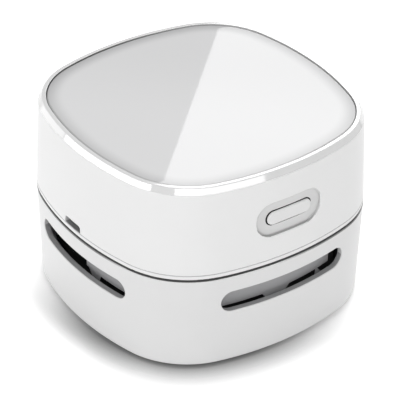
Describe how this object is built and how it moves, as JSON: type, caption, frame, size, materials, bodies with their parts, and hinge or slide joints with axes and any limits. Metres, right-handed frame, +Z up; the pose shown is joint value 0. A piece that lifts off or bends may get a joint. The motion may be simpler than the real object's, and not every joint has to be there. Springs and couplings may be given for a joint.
{
  "type": "desktop mini vacuum cleaner",
  "caption": "Small rounded-square desk vacuum: a head with fan, motor, battery, push-button and glossy top plate that lifts off a dust box with a side vent in each wall.",
  "frame": {"origin": "centre of the bounding box at the desk surface, under the glide pads", "axes": "+Z up; -Y is the side with the push-button, -X the side with the charging socket"},
  "size_m": [0.084, 0.084, 0.0586],
  "materials": {
    "white_gloss": "glossy white ABS",
    "plate_gloss": "polished white acrylic over white",
    "rim_gloss": "polished bevelled trim",
    "band_white": "satin white ABS",
    "inner_grey": "plain grey ABS",
    "button_white": "satin white ABS",
    "tray_clear": "frosted white ABS",
    "rubber_grey": "soft matt rubber",
    "pad_rubber": "soft grey rubber",
    "bristle": "nylon bristle",
    "filter_cloth": "non-woven filter cloth",
    "steel": "zinc plated steel",
    "motor_steel": "drawn steel",
    "magnet": "sintered ferrite",
    "bronze": "sintered bronze",
    "copper": "copper",
    "black_nylon": "black moulded nylon",
    "board_green": "glass-fibre circuit board",
    "socket_metal": "tin plated steel",
    "cell_wrap": "shrink-wrapped cell",
    "foam": "black foam",
    "lead_red": "red insulated lead"
  },
  "bodies": {
    "root": {"lower_housing": "white_gloss", "dust_tray": "tray_clear", "tray_wall": "tray_clear", "base_plate": "band_white", "brush_strips": "black_nylon", "brush_tufts": "bristle", "glide_pads": "pad_rubber", "base_screws": "steel"},
    "filter": {"filter_frame": "inner_grey", "filter_mesh": "filter_cloth"},
    "button": {"power_button": "button_white", "switch_plunger": "black_nylon"},
    "rotor": {"motor_shaft": "motor_steel", "armature_core": "motor_steel", "armature_windings": "copper", "commutator": "copper", "impeller": "black_nylon"},
    "head": {"seal_ring": "rubber_grey", "fan_cover": "inner_grey", "fan_shroud": "inner_grey", "cover_screws": "steel", "chassis": "band_white", "upper_housing": "white_gloss", "rim_ring": "rim_gloss", "top_plate": "plate_gloss", "switch_body": "black_nylon", "button_board": "board_green", "button_board_screws": "steel", "circuit_board": "board_green", "board_screws": "steel", "charging_socket": "socket_metal", "board_chips": "black_nylon", "board_capacitor": "black_nylon", "lead_sockets": "tray_clear", "battery_cell": "cell_wrap", "battery_tabs": "steel", "battery_pads": "foam", "battery_leads": "lead_red", "motor_leads": "lead_red", "switch_leads": "lead_red", "motor_can": "motor_steel", "motor_magnets": "magnet", "motor_bushes": "bronze", "motor_end_cap": "black_nylon", "motor_terminals": "copper", "motor_brushes": "copper", "motor_screws": "steel", "case_screws": "steel"}
  },
  "joints": [
    {"name": "head_lift", "type": "slide", "parent": "root", "child": "head", "axis": [0, 0, 1], "range_m": [0, 0.06]},
    {"name": "button_press", "type": "slide", "parent": "head", "child": "button", "axis": [0, 1, 0], "range_m": [0, 0.0008], "stiffness_N_per_m": 1500, "springref_m": -0.0008},
    {"name": "rotor_spin", "type": "hinge", "parent": "head", "child": "rotor", "pos_m": [0, 0, 0.035], "axis": [0, 0, 1], "continuous": true},
    {"name": "filter_pull", "type": "slide", "parent": "head", "child": "filter", "axis": [0, 0, -1], "range_m": [0, 0.0035]}
  ]
}
